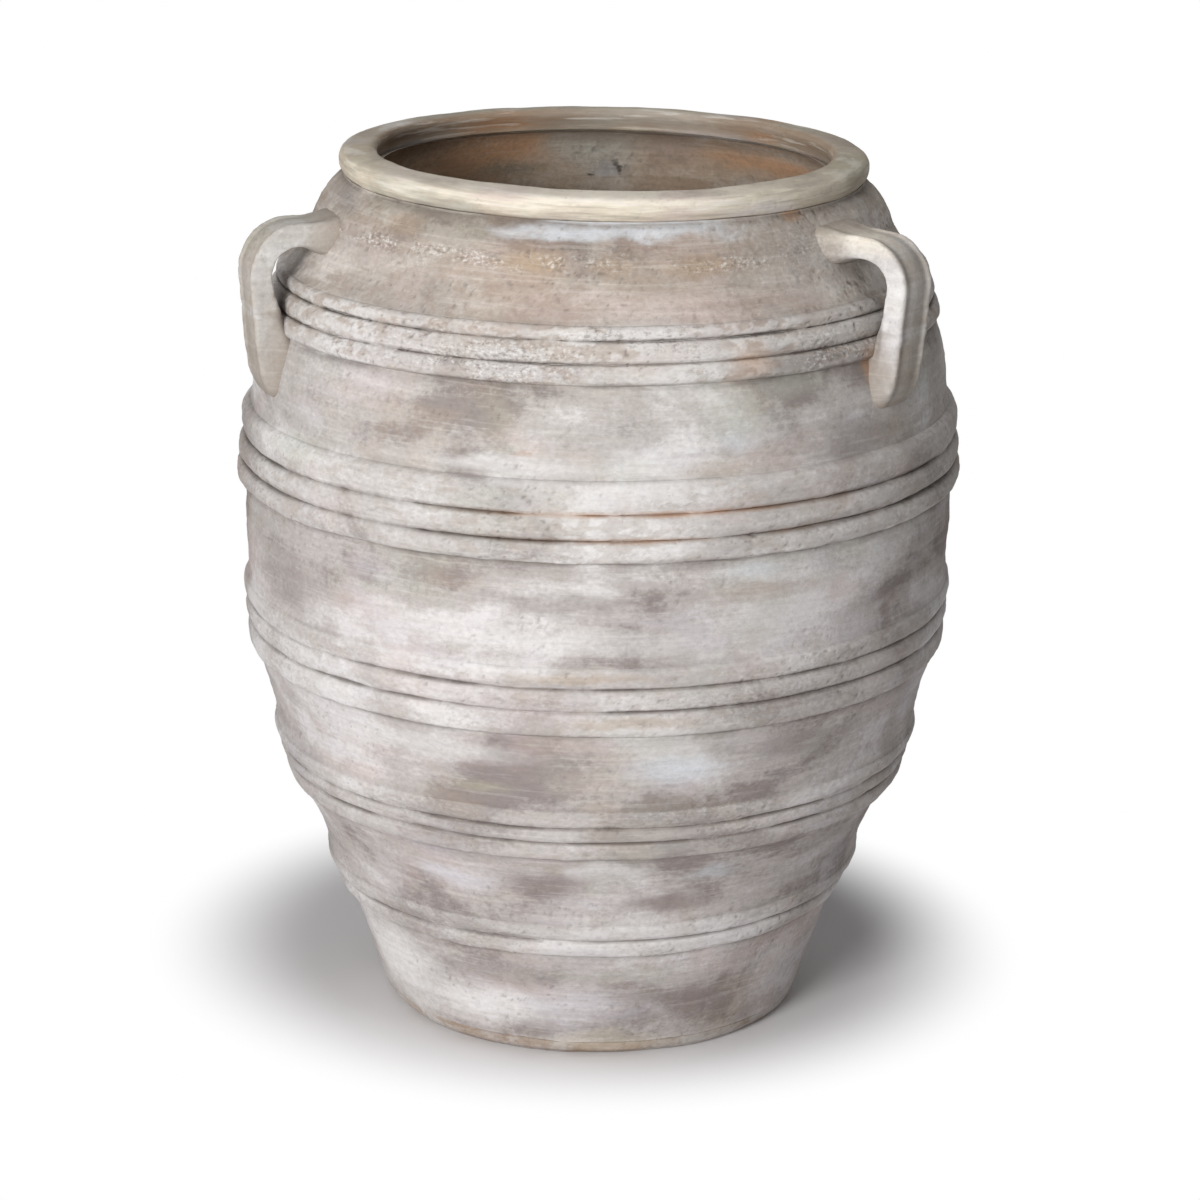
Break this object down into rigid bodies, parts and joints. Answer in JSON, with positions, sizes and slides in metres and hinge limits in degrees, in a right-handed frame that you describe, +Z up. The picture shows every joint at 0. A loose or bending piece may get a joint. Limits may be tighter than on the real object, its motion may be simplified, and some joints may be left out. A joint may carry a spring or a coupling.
{
  "type": "greek pithos",
  "caption": "Large free-standing terracotta storage jar with applied clay bands, a thick rolled rim and upright strap handles on the shoulder.",
  "frame": {"origin": "centre of the flat underside of the base disc", "axes": "+Z up along the jar's axis, -Y towards the pictured side, +X to its right"},
  "size_m": [0.6652, 0.6685, 0.8],
  "materials": {
    "weathered_terracotta": "matt, lime washed and worn",
    "weathered_rope_clay": "matt, pitted, lime washed and worn",
    "limed_rim_clay": "matt, smoothed, cream wash",
    "limed_handle_clay": "matt, smoothed, lime washed",
    "bare_terracotta": "matt, bare fired clay"
  },
  "bodies": {
    "root": {"base_disc": "bare_terracotta", "foot_wall": "weathered_terracotta", "lower_wall": "weathered_terracotta", "middle_wall": "weathered_terracotta", "belly_wall": "weathered_terracotta", "upper_wall": "weathered_terracotta", "shoulder_wall": "weathered_terracotta", "rim": "limed_rim_clay", "foot_band_bottom_rope": "weathered_rope_clay", "foot_band_top_rope": "weathered_rope_clay", "lower_band_bottom_rope": "weathered_rope_clay", "lower_band_middle_rope": "weathered_rope_clay", "lower_band_top_rope": "weathered_rope_clay", "middle_band_bottom_rope": "weathered_rope_clay", "middle_band_middle_rope": "weathered_rope_clay", "middle_band_top_rope": "weathered_rope_clay", "belly_band_bottom_rope": "weathered_rope_clay", "belly_band_middle_rope": "weathered_rope_clay", "belly_band_top_rope": "weathered_rope_clay", "shoulder_band_bottom_rope": "weathered_rope_clay", "shoulder_band_middle_rope": "weathered_rope_clay", "shoulder_band_top_rope": "weathered_rope_clay", "right_handle": "limed_handle_clay", "left_handle": "limed_handle_clay", "back_handle": "limed_handle_clay"}
  },
  "joints": []
}
